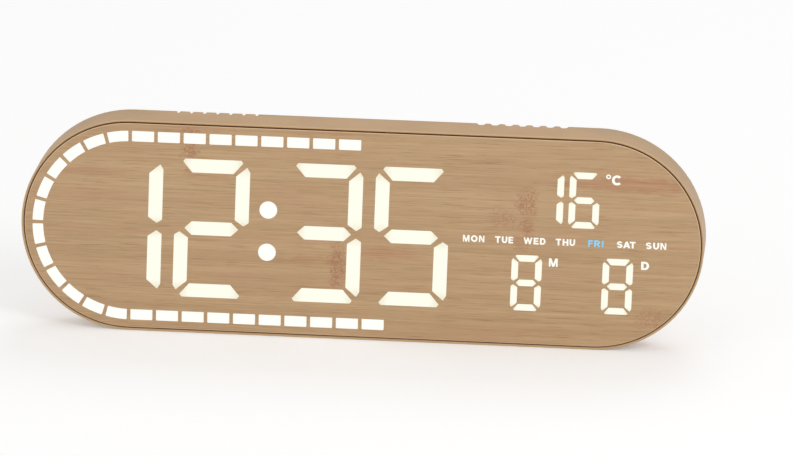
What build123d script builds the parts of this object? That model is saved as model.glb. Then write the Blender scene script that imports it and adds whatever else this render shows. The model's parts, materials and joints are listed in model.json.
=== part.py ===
from build123d import *
import math
import os

# The clock faces -Y and stands on its flat lower edge. The origin lies under its middle,
# +X is to the right of someone reading the display, and sizes are in millimetres.

# Case: a stadium with round ends, deep enough for the board and what stands behind it
case_depth = 26.0
side_wall = 2.2
rear_wall = 2.2
rear_bevel = 2.1
rear_bevel_soft = 0.7
lip_wall = 1.2
lip_edge = 0.4
lip_bevel = 0.5

# Front panel, the sheet and tape behind it, the reflector and the board, front to back
panel_thickness = 2.5
panel_gap = 0.65
panel_bevel = 0.35
sheet_thickness = 0.3
sheet_gap = 0.2
tape_width = 1.2
reflector_depth = 7.0
reflector_clearance = 0.5
board_thickness = 1.6
board_inset = 1.2

# Seconds ring: one light cell for each second, along the two long sides and round both ends
side_cells = 18
end_cells = 12
lit_seconds = 31
ring_width = 6.0
ring_cell_gap = 2.0
ring_edge_gap = 6.2
ring_digit_gap = 8.55

# Seven-stroke digits, leaning to the right by the slant
slant = 1.02
digit_width = 41.5
digit_stroke = 7.85
digit_margin = 37.15
digit_gap = 6.9
digit_week_gap = 7.35
colon_gap = 21.4
colon_radius = 4.97
colon_spread = 24.3
small_height = 31.95
small_width = 16.9
small_stroke = 3.75
small_gap = 2.97

# Small digits in two rows, each with its sign, and the weekdays between the rows
weekday_count = 7
weekday_z = 0.7
weekday_cell = (13.4, 5.8)
week_margin = 19.8
row_gap = 5.4
rows_proud = 0.5
date_indent = 8.38
date_outdent = 9.85
date_gap = 4.73
temperature_shift = 9.65
sign_gap = 3.0
sign_drop = 3.4
sign_cell = (6.0, 6.0)
degree_cell = (9.6, 6.8)

# Shape of a stroke, in stroke widths from the edges of its digit
bar_tip_inset = 0.5
bar_tip_drop = 0.2
bar_corner_inset = 0.66
bar_inner_inset = 1.18
middle_tip_inset = 0.72
middle_flat_inset = 1.24
upright_tip_drop = 0.5
upright_tip_across = 0.78
upright_inner_drop = 1.17
upright_outer_drop = 0.85
upright_foot_rise = 0.27
upright_foot_across = 0.62
upright_foot_inner = 0.7
upright_foot_outer = 0.52

# Fits of the light pieces
lens_clearance = 0.05
cell_margin = 0.3
led_size = (2.0, 1.2)
led_height = 0.8

# Screws and the bosses that they pass
screw_from_end = 4.5
boss_size = 7.6
counterbore_radius = 2.9
counterbore_depth = 7.0
screw_radius = 1.3
screw_clearance = 0.2
screw_length = 14.0
screw_head_radius = 2.6
screw_head_height = 1.6
pilot_clearance = 0.05
pilot_spare = 0.6
gusset_thickness = 1.2
gusset_depth = 8.0

# Folding desk legs, stowed upright in pockets of the rear wall
leg_from_end = 24.5
leg_width = 16.0
leg_thickness = 5.0
leg_reach = 60.0
leg_skin = 1.8
leg_rib = 1.6
leg_tip_bevel = 1.2
leg_ground_gap = 0.1
leg_clearance = 0.3
leg_pin_radius = 1.0
leg_pin_clearance = 0.06
leg_pin_grip = 3.0
leg_cheek = 3.4
leg_cheek_height = 9.0
pocket_wall = 1.6
finger_length = 9.0

# Keyholes for hanging the clock on two wall screws
keyhole_from_leg = 25.0
keyhole_z = 27.5
keyhole_head_radius = 4.0
keyhole_slot_radius = 2.1
keyhole_rise = 8.0
keyhole_room = 10.4
keyhole_depth = 4.3
keyhole_wall = 1.5

# Buttons in a shallow dish, each on its own push switch
button_names = ("set", "up", "down")
button_pitch = 16.0
button_z = 35.5
button_size = (9.0, 5.0)
button_travel = 0.5
button_clearance = 0.2
button_corner = 1.2
button_proud = 0.8
button_flange = 1.4
button_flange_thickness = 1.2
button_rest_gap = 0.15
button_stem = (3.0, 2.0)
dish_depth = 1.0
dish_margin = 3.5
switch_size = 6.0
switch_height = 3.4
switch_base = 0.6
plunger_size = (3.4, 2.2)
plunger_clearance = 0.15
plunger_rest_gap = 0.1
plunger_rise = 0.7

# Coin cell in a moulded bay of the rear wall, under a door that slides down and lifts off
battery_place = (-56.0, -24.5)
cell_radius = 10.0
cell_thickness = 3.2
cell_clearance = 0.8
bay_wall = 1.5
contact_thickness = 0.4
contact_width = 5.0
contact_gap = 0.1
tail_width = 1.2
tail_clearance = 0.2
door_size = (26.0, 26.0)
door_thickness = 1.8
door_sink = 0.2
door_seat_gap = 0.1
door_clearance = 0.3
door_travel = 6.0
door_cell_gap = 0.4
tab_size = (5.0, 4.0)
tab_spread = 15.0
tab_thickness = 0.9
grip_count = 3
grip_size = (12.0, 0.8)
grip_depth = 0.5
grip_pitch = 2.4

# Power inlet, buzzer and the other parts on the back of the board
jack_place = (0.0, -30.5)
jack_size = 9.0
jack_height = 10.6
jack_bore_radius = 3.15
jack_bore_depth = 8.5
jack_pin_radius = 1.0
jack_pin_length = 7.5
jack_recess_radius = 5.4
jack_shroud_wall = 1.3
jack_shroud_gap = 0.2
buzzer_place = (56.0, -24.5)
buzzer_size = 12.0
buzzer_height = 6.5
sound_slots = 5
sound_slot = (1.4, 12.0)
sound_slot_pitch = 3.0
chip_places = [(-30.0, 2.0), (34.0, 2.0), (-30.0, 22.0)]
chip_size = (10.2, 7.6)
chip_height = 2.3
crystal_place = (10.0, 14.0)
crystal_size = (8.0, 3.8)
crystal_height = 2.5
capacitor_place = (20.0, -30.0)
capacitor_size = (7.3, 4.3)
capacitor_height = 2.9
regulator_place = (-14.0, -30.0)
regulator_size = (6.6, 6.2)
regulator_height = 2.2
thermistor_z = 40.0
thermistor_from_keyhole = 18.0
thermistor_size = (4.0, 2.4)
thermistor_length = 4.5
thermistor_lead = 0.5
thermistor_lead_pitch = 1.4
thermistor_wall_gap = 0.9

# Vent slots over the top rear edge: fine ones on the left, wide ones on the right
vent_count = 7
vent_reach = 5.5
vent_drop = 9.0
vent_throat = 3.4
vent_land = 2.0
left_vent = {"side": -1, "from_end": 46.2, "pitch": 7.3, "root": 0.9, "throat": 1.5, "mouth": 2.2}
right_vent = {"side": 1, "from_end": 42.9, "pitch": 7.65, "root": 2.4, "throat": 4.2, "mouth": 5.2}

# Sizes and places worked out from the values above. The week's row is as wide as the small digits
# with their signs and a little more, and the case is as large as the display and its margins.
small_pitch = small_width + small_gap
sign_reach = small_width / 2 + sign_gap + sign_cell[0]
date_pitch = sign_reach + date_gap + small_width / 2 + small_pitch
date_width = small_width / 2 + small_pitch + date_pitch + sign_reach
week_width = date_indent + date_width + date_outdent
weekday_pitch = (week_width - weekday_cell[0]) / (weekday_count - 1)
digit_height = 2 * (small_height + row_gap - rows_proud) + weekday_cell[1]
digits_width = 4 * digit_width + 2 * digit_gap + colon_gap
case_length = digit_margin + digits_width + digit_week_gap + week_width + week_margin
case_height = digit_height + 2 * (ring_digit_gap + ring_width + ring_edge_gap)
straight = case_length - case_height
end_radius = case_height / 2
centre_z = case_height / 2
front_y = -case_depth / 2
rear_y = case_depth / 2
rear_inner_y = rear_y - rear_wall
panel_back_y = front_y + panel_thickness
sheet_back_y = panel_back_y + sheet_thickness
reflector_back_y = sheet_back_y + reflector_depth
board_back_y = reflector_back_y + board_thickness
cavity_radius = end_radius - side_wall
panel_radius = end_radius - lip_wall - panel_gap
reflector_radius = cavity_radius - reflector_clearance
tape_inner_radius = reflector_radius - tape_width
sheet_radius = tape_inner_radius - sheet_gap
board_radius = reflector_radius - board_inset

lean = math.tan(math.radians(slant))
ring_radius = digit_height / 2 + ring_digit_gap + ring_width / 2
first_digit_x = digit_margin + digit_width / 2 - case_length / 2
digit_pitch = digit_width + digit_gap
colon_pitch = digit_width + colon_gap
colon_x = first_digit_x + digit_pitch + colon_pitch / 2
colon_places = [(colon_x + lean * z, z) for z in (-colon_spread / 2, colon_spread / 2)]
week_x = case_length / 2 - week_margin - week_width
weekday_first_x = week_x + weekday_cell[0] / 2
row_pitch = weekday_cell[1] / 2 + row_gap + small_height / 2
month_place = (week_x + date_indent + small_width / 2 + small_pitch, weekday_z - row_pitch)
day_place = (month_place[0] + date_pitch, weekday_z - row_pitch)
temperature_place = (week_x + week_width / 2 + temperature_shift, weekday_z + row_pitch)
sign_cells = {temperature_place: degree_cell, month_place: sign_cell, day_place: sign_cell}

screw_x = straight / 2 - screw_from_end
screw_z = (digit_height / 2 + ring_radius - ring_width / 2) / 2
screw_places = [(x, z) for x in (-screw_x, screw_x) for z in (-screw_z, screw_z)]
screw_seat_y = rear_y - counterbore_depth
screw_tip_y = screw_seat_y - screw_length
screw_hole_radius = screw_radius + screw_clearance
pilot_radius = screw_radius + pilot_clearance

leg_x = straight / 2 - leg_from_end
leg_places = {"left": -leg_x, "right": leg_x}
leg_pivot_y = rear_y - leg_thickness / 2
leg_pivot_z = leg_thickness / 2 + leg_ground_gap
leg_pocket_floor_y = rear_y - leg_thickness - leg_clearance
leg_pocket_width = leg_width + 2 * leg_clearance
leg_pocket_height = leg_pivot_z + leg_reach + leg_clearance + finger_length

keyhole_x = leg_x - keyhole_from_leg
keyhole_rooms = [(x, keyhole_z + keyhole_rise / 2) for x in (-keyhole_x, keyhole_x)]

# The temperature sensor stands on its leads up to the rear wall, below the wide vents
thermistor_place = (keyhole_x - thermistor_from_keyhole, thermistor_z)
sensor_foot_y = rear_inner_y - thermistor_wall_gap - thermistor_length

os.makedirs("parts", exist_ok=True)


def face_plane(y):
    """Plane across the clock at depth y, centred on the display, its normal to the front."""
    return Plane(origin=(0, y, centre_z), x_dir=(1, 0, 0), z_dir=(0, -1, 0))


def base_plane(y):
    """The same plane with its origin at the foot of the clock."""
    return Plane(origin=(0, y, 0), x_dir=(1, 0, 0), z_dir=(0, -1, 0))


def save(builder, name):
    """Label a finished piece and write it as its own file."""
    builder.part.label = name
    export_step(builder.part, f"parts/{name}.step")


def stadium(radius):
    """Outline of the case brought in or out to this end radius."""
    return SlotCenterToCenter(straight, 2 * radius)


def stroke_points(letter, width, height, stroke):
    """Corners of one stroke of a seven-stroke digit about the digit's centre."""
    half_width = width / 2
    half_height = height / 2
    if letter == "g":
        tip = half_width - middle_tip_inset * stroke
        flat = half_width - middle_flat_inset * stroke
        rise = stroke / 2
        return [(-tip, 0), (-flat, rise), (flat, rise), (tip, 0), (flat, -rise), (-flat, -rise)]
    if letter in "ad":
        tip = half_width - bar_tip_inset * stroke
        corner = half_width - bar_corner_inset * stroke
        inner = half_width - bar_inner_inset * stroke
        tip_z = half_height - bar_tip_drop * stroke
        inner_z = half_height - stroke
        points = [(-tip, tip_z), (-corner, half_height), (corner, half_height)]
        points += [(tip, tip_z), (inner, inner_z), (-inner, inner_z)]
        side = 1 if letter == "a" else -1
        return [(x, side * z) for x, z in points]
    inside = half_width - stroke
    points = [
        (inside, half_height - upright_inner_drop * stroke),
        (inside + upright_tip_across * stroke, half_height - upright_tip_drop * stroke),
        (half_width, half_height - upright_outer_drop * stroke),
        (half_width, upright_foot_outer * stroke),
        (inside + upright_foot_across * stroke, upright_foot_rise * stroke),
        (inside, upright_foot_inner * stroke),
    ]
    across = 1 if letter in "bc" else -1
    side = 1 if letter in "bf" else -1
    return [(across * x, side * z) for x, z in points]


def placed_strokes(letters, place, width, height, stroke):
    """Outlines of a digit's strokes in the display's plane, leaning with the slant."""
    x, z = place
    outlines = []
    for letter in letters:
        points = stroke_points(letter, width, height, stroke)
        outlines.append([(x + px + lean * (z + pz), z + pz) for px, pz in points])
    return outlines


def big_strokes(letters, index):
    """Strokes of one large digit, counted from the left."""
    x = first_digit_x + digit_pitch * index + (colon_pitch - digit_pitch) * (index // 2)
    return placed_strokes(letters, (x, 0), digit_width, digit_height, digit_stroke)


def small_strokes(letters, place, tens=False):
    """Strokes of one small digit, at its place or one pitch to the left of it."""
    x, z = place
    x -= small_pitch if tens else 0
    return placed_strokes(letters, (x, z), small_width, small_height, small_stroke)


def outlines_sketch(outlines, y, grow=0.0):
    """Faces with these corners at depth y, grown all round."""
    with BuildSketch(face_plane(y)) as faces:
        for points in outlines:
            with BuildLine():
                Polyline(*points, close=True)
            make_face()
        if grow:
            offset(amount=grow, kind=Kind.INTERSECTION)
    return faces.sketch


def colon_sketch(y, radius):
    """Both round dots of the colon."""
    with BuildSketch(face_plane(y)) as dots:
        with Locations(*colon_places):
            Circle(radius)
    return dots.sketch


def ring_cell(second):
    """Middle of one second's cell, and its angle about the case's end, or None on a long side."""
    position = (second + side_cells // 2) % (2 * (side_cells + end_cells))
    side_pitch = straight / side_cells
    end_step = 180 / end_cells
    if position < side_cells:
        return straight / 2 - (position + 0.5) * side_pitch, ring_radius, None
    position -= side_cells
    if position < end_cells:
        return end_cell_middle(-straight / 2, 90 + (position + 0.5) * end_step)
    position -= end_cells
    if position < side_cells:
        return -straight / 2 + (position + 0.5) * side_pitch, -ring_radius, None
    position -= side_cells
    return end_cell_middle(straight / 2, -90 + (position + 0.5) * end_step)


def end_cell_middle(centre_x, angle):
    """Middle of a cell at this angle round the end of the case centred at centre_x."""
    turn = math.radians(angle)
    return centre_x + ring_radius * math.cos(turn), ring_radius * math.sin(turn), angle


def ring_sketch(y, seconds, width, gap):
    """Cells of the seconds ring for these seconds, counted back from twelve o'clock."""
    sweep_angle = 180 / end_cells - math.degrees(gap / ring_radius)
    with BuildSketch(face_plane(y)) as cells:
        for x, z, angle in map(ring_cell, seconds):
            if angle is None:
                with Locations((x, z)):
                    Rectangle(straight / side_cells - gap, width)
                continue
            centre = (math.copysign(straight / 2, x), 0)
            start = angle - sweep_angle / 2
            with BuildLine():
                inside = CenterArc(centre, ring_radius - width / 2, start, sweep_angle)
                outside = CenterArc(centre, ring_radius + width / 2, start, sweep_angle)
                Line(inside @ 0, outside @ 0)
                Line(inside @ 1, outside @ 1)
            make_face()
    return cells.sketch


# Lit strokes: the large digits read 12:35, the small ones 16 degrees, month 8 and day 8
hour_strokes = big_strokes("bc", 0) + big_strokes("abged", 1)
minute_strokes = big_strokes("abgcd", 2) + big_strokes("afgcd", 3)
temperature_strokes = small_strokes("bc", temperature_place, tens=True)
temperature_strokes += small_strokes("acdefg", temperature_place)
month_strokes = small_strokes("abcdefg", month_place)
day_strokes = small_strokes("abcdefg", day_place)
lit_digits = {
    "hour_digits": hour_strokes,
    "minute_digits": minute_strokes,
    "temperature_digits": temperature_strokes,
    "month_digit": month_strokes,
    "day_digit": day_strokes,
}

# Every stroke that the display can light, with a cell and its lamps behind it
all_big_strokes = [outline for index in range(4) for outline in big_strokes("abcdefg", index)]
all_small_strokes = []
for place, tens_letters in ((temperature_place, "abcdefg"), (month_place, "bc"), (day_place, "abcdefg")):
    all_small_strokes += small_strokes(tens_letters, place, tens=True) + small_strokes("abcdefg", place)
weekday_places = [(weekday_first_x + weekday_pitch * i, weekday_z) for i in range(weekday_count)]
placed_signs = []
for (x, z), cell in sign_cells.items():
    sign_x = x + small_width / 2 + sign_gap + cell[0] / 2
    placed_signs.append(((sign_x, z + small_height / 2 - sign_drop), cell))

# Depths of the battery bay, from the rear wall inwards, and where its door and edges lie
door_face_y = rear_y - door_sink
door_inner_y = door_face_y - door_thickness
door_seat_y = door_inner_y - door_seat_gap
cell_back_y = door_inner_y - door_cell_gap
bay_floor_y = cell_back_y - cell_thickness - contact_thickness
bay_size = 2 * (cell_radius + cell_clearance)
door_foot_z = battery_place[1] - door_size[1] / 2
recess_foot_z = door_foot_z - door_travel - door_clearance
recess_size = (door_size[0] + 2 * door_clearance, door_size[1] + door_travel + 2 * door_clearance)
recess_place = (battery_place[0], recess_foot_z + recess_size[1] / 2)
recess_top_z = recess_foot_z + recess_size[1]
door_top_z = door_foot_z + door_size[1]
strip_x = battery_place[0] + cell_radius + contact_gap
tail_places = [battery_place, (strip_x + contact_thickness / 2, battery_place[1])]

# Depths along a button and its switch
button_face_y = rear_y - dish_depth + button_proud
flange_y = rear_inner_y - button_rest_gap
switch_face_y = board_back_y + switch_height
plunger_face_y = switch_face_y + plunger_rise
plunger_foot_y = board_back_y + switch_base + plunger_rest_gap + button_travel
jack_face_y = board_back_y + jack_height
button_xs = [button_pitch * (i - (len(button_names) - 1) / 2) for i in range(len(button_names))]


def vent_sketch(vent):
    """Plan of one group of vent slots over the top rear edge, each wider towards the rear."""
    root_y = rear_y - vent_reach
    throat_y = rear_y - vent_throat
    land_y = rear_y - vent_land
    past_y = rear_y + rear_wall
    half_widths = [(vent["root"] / 2, root_y), (vent["throat"] / 2, throat_y)]
    half_widths += [(vent["mouth"] / 2, land_y), (vent["mouth"] / 2, past_y)]
    with BuildSketch(Plane.XY.offset(case_height - vent_drop)) as slots:
        for i in range(vent_count):
            x = vent["side"] * (straight / 2 - vent["from_end"]) + vent["pitch"] * (i - (vent_count - 1) / 2)
            right_side = [(x + half, y) for half, y in half_widths]
            left_side = [(x - half, y) for half, y in reversed(half_widths)]
            with BuildLine():
                Polyline(*right_side, *left_side, close=True)
            make_face()
    return slots.sketch


# Moulded case: side wall and rear wall in one piece
with BuildPart() as housing:
    with BuildSketch(face_plane(rear_y)):
        stadium(end_radius)
    extrude(amount=case_depth)
    chamfer(housing.edges().group_by(Axis.Y)[-1], rear_bevel)
    bevel_edges = housing.edges().group_by(Axis.Y)
    chamfer(bevel_edges[-1] + bevel_edges[-2], rear_bevel_soft)
    chamfer(housing.edges().group_by(Axis.Y)[0], lip_edge)
    with BuildSketch(face_plane(rear_inner_y)):
        stadium(cavity_radius)
    extrude(amount=rear_inner_y - front_y, mode=Mode.SUBTRACT)
    with BuildSketch(face_plane(panel_back_y)):
        stadium(end_radius - lip_wall)
    extrude(amount=panel_thickness, mode=Mode.SUBTRACT)
    front_edges = housing.edges().group_by(Axis.Y)[0]
    mouth = [e for e in front_edges if lip_wall / 2 < e.bounding_box().min.Z]
    chamfer([e for e in mouth if e.bounding_box().max.Z < case_height - lip_wall / 2], lip_bevel)

    # screw bosses down to the board, each tied to the nearest wall by a gusset
    with BuildSketch(face_plane(rear_inner_y)):
        with Locations(*screw_places):
            Rectangle(boss_size, boss_size)
    extrude(amount=rear_inner_y - board_back_y)
    with BuildSketch(face_plane(rear_inner_y)):
        for x, z in screw_places:
            length = cavity_radius - abs(z) + side_wall / 2
            with Locations((x, math.copysign(abs(z) + length / 2, z))):
                Rectangle(gusset_thickness, length)
    extrude(amount=gusset_depth)

    # walls of the leg pockets, with thicker cheeks that hold the pins
    with BuildSketch(base_plane(rear_inner_y)):
        for x in leg_places.values():
            foot_z = side_wall / 2
            with Locations((x, foot_z)):
                wall_width = leg_pocket_width + 2 * pocket_wall
                wall_height = leg_pocket_height + pocket_wall - foot_z
                Rectangle(wall_width, wall_height, align=(Align.CENTER, Align.MIN))
                Rectangle(leg_pocket_width + 2 * leg_cheek, leg_cheek_height, align=(Align.CENTER, Align.MIN))
    extrude(amount=rear_inner_y - leg_pocket_floor_y + pocket_wall)

    # rooms behind the keyholes, the shroud round the power inlet and the walls of the battery bay
    with BuildSketch(face_plane(rear_inner_y)):
        with Locations(*keyhole_rooms):
            Rectangle(keyhole_room + 2 * keyhole_wall, keyhole_room + keyhole_rise + 2 * keyhole_wall)
    extrude(amount=keyhole_depth + keyhole_wall)
    with BuildSketch(face_plane(rear_inner_y)):
        with Locations(jack_place):
            shroud_size = 2 * (jack_recess_radius + jack_shroud_wall)
            Rectangle(shroud_size, shroud_size)
    extrude(amount=rear_inner_y - jack_face_y - jack_shroud_gap)
    with BuildSketch(face_plane(rear_inner_y)):
        with Locations((recess_place[0], recess_place[1] + tab_size[1] / 2)):
            Rectangle(recess_size[0] + 2 * bay_wall, recess_size[1] + tab_size[1] + 2 * bay_wall)
    extrude(amount=rear_inner_y - door_seat_y + bay_wall)
    with BuildSketch(face_plane(rear_inner_y)):
        with Locations(battery_place):
            Rectangle(bay_size + 2 * bay_wall, bay_size + 2 * bay_wall)
    extrude(amount=rear_inner_y - bay_floor_y + bay_wall)

    # screw holes and their counterbores
    with BuildSketch(face_plane(rear_y)):
        with Locations(*screw_places):
            Circle(counterbore_radius)
    extrude(amount=counterbore_depth, mode=Mode.SUBTRACT)
    with BuildSketch(face_plane(screw_seat_y)):
        with Locations(*screw_places):
            Circle(screw_hole_radius)
    extrude(amount=screw_seat_y - board_back_y, mode=Mode.SUBTRACT)

    # leg pockets, open at the foot of the case, and the holes for their pins
    with BuildSketch(base_plane(rear_y)):
        for x in leg_places.values():
            with Locations((x, -side_wall)):
                Rectangle(leg_pocket_width, leg_pocket_height + side_wall, align=(Align.CENTER, Align.MIN))
    extrude(amount=rear_y - leg_pocket_floor_y, mode=Mode.SUBTRACT)
    for x in leg_places.values():
        with BuildSketch(Plane.YZ.offset(x - leg_pocket_width / 2 - leg_pin_grip)):
            with Locations((leg_pivot_y, leg_pivot_z)):
                Circle(leg_pin_radius)
        extrude(amount=leg_pocket_width + 2 * leg_pin_grip, mode=Mode.SUBTRACT)

    # keyholes: a round entry for the screw's head and a narrow slot above it
    with BuildSketch(face_plane(rear_inner_y)):
        with Locations(*keyhole_rooms):
            Rectangle(keyhole_room, keyhole_room + keyhole_rise)
    extrude(amount=keyhole_depth, mode=Mode.SUBTRACT)
    with BuildSketch(face_plane(rear_y)):
        for x, room_z in keyhole_rooms:
            with Locations((x, keyhole_z)):
                Circle(keyhole_head_radius)
                Rectangle(2 * keyhole_slot_radius, keyhole_rise, align=(Align.CENTER, Align.MIN))
            with Locations((x, keyhole_z + keyhole_rise)):
                Circle(keyhole_slot_radius)
    extrude(amount=rear_wall, mode=Mode.SUBTRACT)

    # dish and holes of the buttons
    with BuildSketch(face_plane(rear_y)):
        with Locations((0, button_z)):
            dish_length = button_xs[-1] - button_xs[0] + button_size[0] + 2 * dish_margin
            Rectangle(dish_length, button_size[1] + 2 * dish_margin)
    extrude(amount=dish_depth, mode=Mode.SUBTRACT)
    with BuildSketch(face_plane(rear_y)) as button_holes:
        with Locations(*[(x, button_z) for x in button_xs]):
            Rectangle(button_size[0] + 2 * button_clearance, button_size[1] + 2 * button_clearance)
        chamfer(button_holes.vertices(), button_corner)
    extrude(amount=rear_wall, mode=Mode.SUBTRACT)

    # power inlet, and the sound slots over the buzzer
    with BuildSketch(face_plane(rear_y)):
        with Locations(jack_place):
            Circle(jack_recess_radius)
    extrude(amount=rear_y - jack_face_y, mode=Mode.SUBTRACT)
    with BuildSketch(face_plane(rear_y)):
        with Locations(buzzer_place):
            with GridLocations(sound_slot_pitch, 0, sound_slots, 1):
                Rectangle(*sound_slot)
    extrude(amount=rear_wall, mode=Mode.SUBTRACT)

    # battery bay: recess of the door with the slots for its tabs, and the bay with its tail slots
    with BuildSketch(face_plane(rear_y)):
        with Locations(recess_place):
            Rectangle(*recess_size)
    extrude(amount=rear_y - door_seat_y, mode=Mode.SUBTRACT)
    with BuildSketch(face_plane(door_inner_y + tab_thickness + door_clearance)):
        with Locations((battery_place[0], recess_top_z)):
            with GridLocations(tab_spread, 0, 2, 1):
                Rectangle(tab_size[0] + 2 * door_clearance, tab_size[1], align=(Align.CENTER, Align.MIN))
    extrude(amount=tab_thickness + door_clearance + door_seat_gap, mode=Mode.SUBTRACT)
    with BuildSketch(face_plane(door_seat_y)):
        with Locations(battery_place):
            Rectangle(bay_size, bay_size)
    extrude(amount=door_seat_y - bay_floor_y, mode=Mode.SUBTRACT)
    with BuildSketch(face_plane(bay_floor_y)):
        with Locations(*tail_places):
            Rectangle(contact_thickness + 2 * tail_clearance, tail_width + 2 * tail_clearance)
    extrude(amount=bay_wall, mode=Mode.SUBTRACT)

    for vent in (left_vent, right_vent):
        extrude(vent_sketch(vent), amount=2 * vent_drop, mode=Mode.SUBTRACT)

save(housing, "rear_housing")

# Front panel with a window for every lit stroke, dot and second
with BuildPart() as front_panel:
    with BuildSketch(face_plane(panel_back_y)):
        stadium(panel_radius)
    extrude(amount=panel_thickness)
    chamfer(front_panel.edges().group_by(Axis.Y)[0], panel_bevel)
    for outlines in lit_digits.values():
        extrude(outlines_sketch(outlines, panel_back_y), amount=panel_thickness, mode=Mode.SUBTRACT)
    extrude(colon_sketch(panel_back_y, colon_radius), amount=panel_thickness, mode=Mode.SUBTRACT)
    ring_windows = ring_sketch(panel_back_y, range(lit_seconds), ring_width, ring_cell_gap)
    extrude(ring_windows, amount=panel_thickness, mode=Mode.SUBTRACT)

save(front_panel, "front_panel")

# Milky light pieces that fill the windows, flush with the panel
for name, outlines in lit_digits.items():
    with BuildPart() as lens:
        extrude(outlines_sketch(outlines, panel_back_y, -lens_clearance), amount=panel_thickness)
    save(lens, name)

with BuildPart() as colon_dots:
    extrude(colon_sketch(panel_back_y, colon_radius - lens_clearance), amount=panel_thickness)

save(colon_dots, "colon_dots")

with BuildPart() as seconds_ring:
    ring_lenses = ring_sketch(
        panel_back_y, range(lit_seconds), ring_width - 2 * lens_clearance, ring_cell_gap + 2 * lens_clearance
    )
    extrude(ring_lenses, amount=panel_thickness)

save(seconds_ring, "seconds_ring")

# Diffusing sheet behind the panel, inside the tape that holds the panel to the reflector
with BuildPart() as diffuser_sheet:
    with BuildSketch(face_plane(sheet_back_y)):
        stadium(sheet_radius)
    extrude(amount=sheet_thickness)

save(diffuser_sheet, "diffuser_sheet")

with BuildPart() as panel_tape:
    with BuildSketch(face_plane(sheet_back_y)):
        with GridLocations(0, tape_inner_radius + reflector_radius, 1, 2):
            Rectangle(straight, tape_width)
    extrude(amount=sheet_thickness)

save(panel_tape, "panel_tape")

# Reflector: a light well for every stroke, dot, second and word, and six-sided pilot holes for the screws
pilot_depth = reflector_back_y - screw_tip_y + pilot_spare
with BuildPart() as reflector:
    with BuildSketch(face_plane(reflector_back_y)):
        stadium(reflector_radius)
    extrude(amount=reflector_depth)
    wells = outlines_sketch(all_big_strokes + all_small_strokes, reflector_back_y, cell_margin)
    extrude(wells, amount=reflector_depth, mode=Mode.SUBTRACT)
    with BuildSketch(face_plane(reflector_back_y)):
        for x, z, angle in map(ring_cell, range(2 * (side_cells + end_cells))):
            pitch = straight / side_cells if angle is None else math.radians(180 / end_cells) * ring_radius
            with Locations((x, z)):
                Rectangle(
                    pitch - ring_cell_gap + 2 * cell_margin,
                    ring_width + 2 * cell_margin,
                    rotation=0 if angle is None else angle - 90,
                )
        with Locations(*colon_places):
            Rectangle(2 * (colon_radius + cell_margin), 2 * (colon_radius + cell_margin))
        with Locations(*weekday_places):
            Rectangle(*weekday_cell)
        for (x, z), size in placed_signs:
            with Locations((x, z)):
                Rectangle(*size)
    extrude(amount=reflector_depth, mode=Mode.SUBTRACT)
    with BuildSketch(face_plane(reflector_back_y)):
        with Locations(*screw_places):
            RegularPolygon(pilot_radius, 6, major_radius=False)
    extrude(amount=pilot_depth, mode=Mode.SUBTRACT)

save(reflector, "reflector_frame")

with BuildPart() as display_board:
    with BuildSketch(face_plane(board_back_y)):
        stadium(board_radius)
        with Locations(*screw_places):
            Circle(screw_hole_radius, mode=Mode.SUBTRACT)
    extrude(amount=board_thickness)

save(display_board, "display_board")


def middle(points):
    """Mean of a stroke's corners."""
    return sum(x for x, z in points) / len(points), sum(z for x, z in points) / len(points)


# Lamps on the face of the board, one in each light well
lamp_places = [middle(points) for points in all_big_strokes + all_small_strokes]
lamp_places += [ring_cell(second)[:2] for second in range(2 * (side_cells + end_cells))]
lamp_places += colon_places + weekday_places + [place for place, size in placed_signs]
with BuildPart() as lamps:
    with BuildSketch(face_plane(reflector_back_y)):
        with Locations(*lamp_places):
            Rectangle(*led_size)
    extrude(amount=led_height)

save(lamps, "display_lamps")

# Screws through the rear of the case and the board into the reflector, their shanks cut to six sides
with BuildPart() as case_screws:
    with BuildSketch(face_plane(screw_seat_y + screw_head_height)):
        with Locations(*screw_places):
            Circle(screw_head_radius)
    extrude(amount=screw_head_height)
    with BuildSketch(face_plane(screw_seat_y)):
        with Locations(*screw_places):
            RegularPolygon(screw_radius, 6)
    extrude(amount=screw_length)

save(case_screws, "case_screws")

# Desk legs: rounded at the pivot, ribbed on the side that lies in the pocket
for side, x in leg_places.items():
    leg_side_x = x - leg_width / 2
    with BuildPart() as leg:
        with BuildSketch(Plane.YZ.offset(leg_side_x)) as profile:
            with Locations((leg_pivot_y, leg_pivot_z)):
                Rectangle(leg_thickness, leg_reach, align=(Align.CENTER, Align.MIN))
            chamfer(profile.vertices().group_by(Axis.Z)[-1], leg_tip_bevel)
            with Locations((leg_pivot_y, leg_pivot_z)):
                Circle(leg_thickness / 2)
        extrude(amount=leg_width)
        hollow_width = (leg_width - 3 * leg_rib) / 2
        hollow_foot = leg_pivot_z + leg_thickness / 2 + leg_rib
        hollow_top = leg_pivot_z + leg_reach - leg_tip_bevel - leg_rib
        with BuildSketch(base_plane(rear_y - leg_skin)):
            with Locations((x, (hollow_foot + hollow_top) / 2)):
                with GridLocations(hollow_width + leg_rib, 0, 2, 1):
                    Rectangle(hollow_width, hollow_top - hollow_foot)
        extrude(amount=leg_thickness, mode=Mode.SUBTRACT)
        with BuildSketch(Plane.YZ.offset(leg_side_x)):
            with Locations((leg_pivot_y, leg_pivot_z)):
                Circle(leg_pin_radius + leg_pin_clearance)
        extrude(amount=leg_width, mode=Mode.SUBTRACT)
    save(leg, f"{side}_leg")

with BuildPart() as leg_pins:
    for x in leg_places.values():
        with BuildSketch(Plane.YZ.offset(x - leg_pocket_width / 2 - leg_pin_grip)):
            with Locations((leg_pivot_y, leg_pivot_z)):
                Circle(leg_pin_radius)
        extrude(amount=leg_pocket_width + 2 * leg_pin_grip)

save(leg_pins, "leg_pins")

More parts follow.
